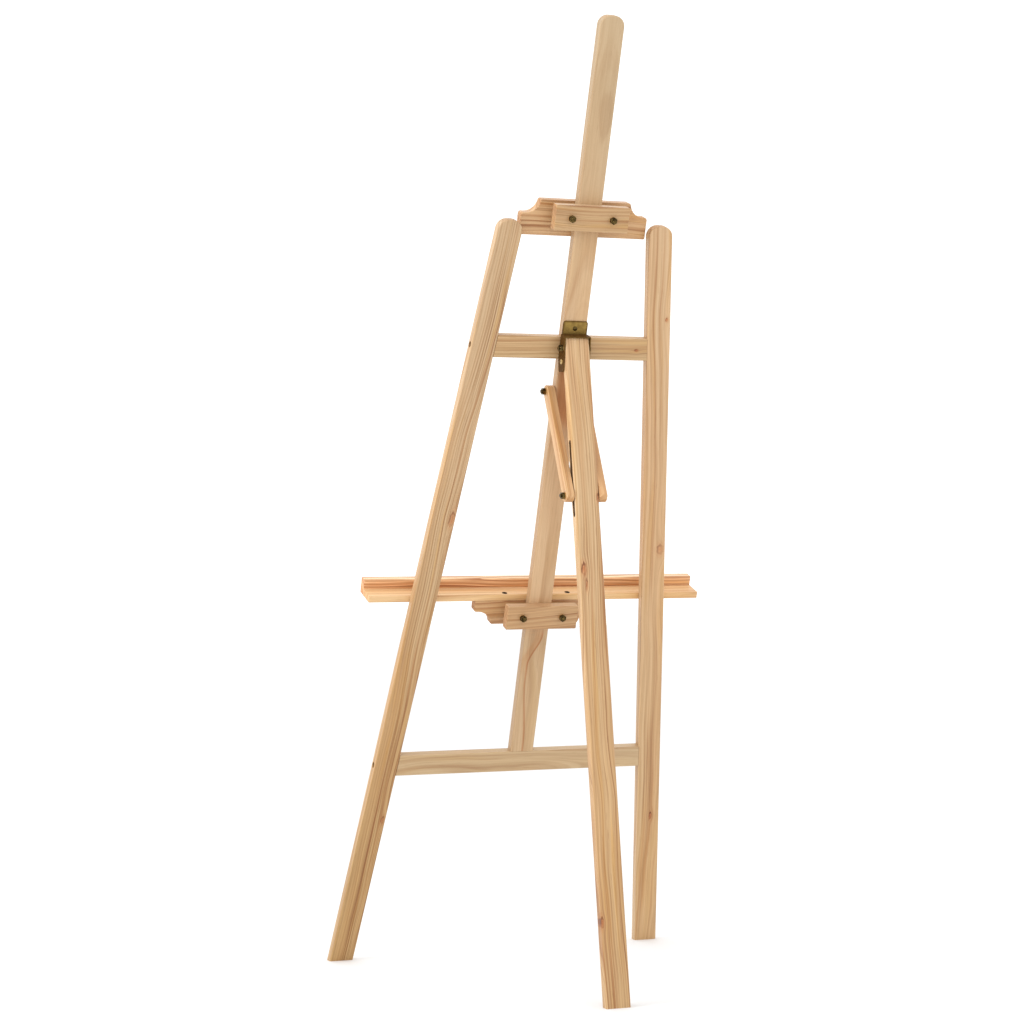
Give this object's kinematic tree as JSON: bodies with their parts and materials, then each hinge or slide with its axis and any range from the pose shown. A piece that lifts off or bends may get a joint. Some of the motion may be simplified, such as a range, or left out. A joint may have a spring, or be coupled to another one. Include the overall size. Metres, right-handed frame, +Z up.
{
  "type": "display easel",
  "caption": "Folding wooden A-frame display easel with a central mast, sliding canvas tray, sliding top clamp and a hinged rear leg held by a folding stay.",
  "frame": {"origin": "on the floor, centred under the bounding box of the opened easel", "axes": "+Z up from the floor; -Y is the canvas side, +Y the rear-leg side; +X runs along the tray and rails, to the left for someone facing the rear"},
  "size_m": [0.5976, 0.5554, 1.5021],
  "materials": {
    "pine_frame": "satin",
    "pine_mast": "satin",
    "pine_rear_leg": "satin",
    "pine_stay": "satin",
    "pine_clamps": "satin",
    "pine_tray": "satin",
    "aged_brass": "satin",
    "bracket_brass": "satin",
    "dark_screws": "satin"
  },
  "bodies": {
    "front_frame": {"front_leg_left": "pine_frame", "front_leg_right": "pine_frame", "upper_rail": "pine_frame", "lower_rail": "pine_frame", "mast": "pine_mast", "rail_screws": "dark_screws", "mast_foot_screws": "dark_screws", "hinge_bracket": "bracket_brass", "hinge_screw": "aged_brass", "hinge_eyelets": "aged_brass", "hinge_pivot_bolt": "aged_brass", "hinge_pivot_washer": "aged_brass", "hinge_pivot_nut": "aged_brass", "stay_upper_bolt": "aged_brass", "stay_upper_washer": "aged_brass", "stay_upper_nut": "aged_brass"},
    "rear_leg": {"rear_leg": "pine_rear_leg"},
    "stay": {"stay_link_left": "pine_stay", "stay_link_right": "pine_stay", "stay_lower_bolt": "aged_brass", "stay_lower_washer": "aged_brass", "stay_lower_nut": "aged_brass"},
    "top_clamp": {"top_clamp_board": "pine_clamps", "top_clamp_plate": "pine_clamps", "top_clamp_bolts": "aged_brass", "top_clamp_washers": "aged_brass", "top_clamp_nuts": "aged_brass"},
    "tray": {"tray_floor": "pine_tray", "tray_lip": "pine_tray", "tray_bracket": "pine_clamps", "tray_clamp_plate": "pine_clamps", "tray_clamp_bolts": "aged_brass", "tray_clamp_washers": "aged_brass", "tray_clamp_nuts": "aged_brass", "tray_screws": "dark_screws"}
  },
  "joints": [
    {"name": "rear_leg_fold", "type": "hinge", "parent": "front_frame", "child": "rear_leg", "pos_m": [0, 0.1174, 1.00662], "axis": [1, 0, 0], "range_deg": [-26, 0]},
    {"name": "stay_swing", "type": "hinge", "parent": "front_frame", "child": "stay", "pos_m": [0, 0.07253, 0.94104], "axis": [1, 0, 0], "range_deg": [-36, 0]},
    {"name": "top_clamp_slide", "type": "slide", "parent": "front_frame", "child": "top_clamp", "axis": [0, 0.3387, 0.9409], "range_m": [-0.13, 0.26]},
    {"name": "tray_slide", "type": "slide", "parent": "front_frame", "child": "tray", "axis": [0, 0.3387, 0.9409], "range_m": [-0.2, 0.15]}
  ],
  "couplings": [
    {"joint": "stay_swing", "follows": "rear_leg_fold", "ratio": 1.37}
  ]
}
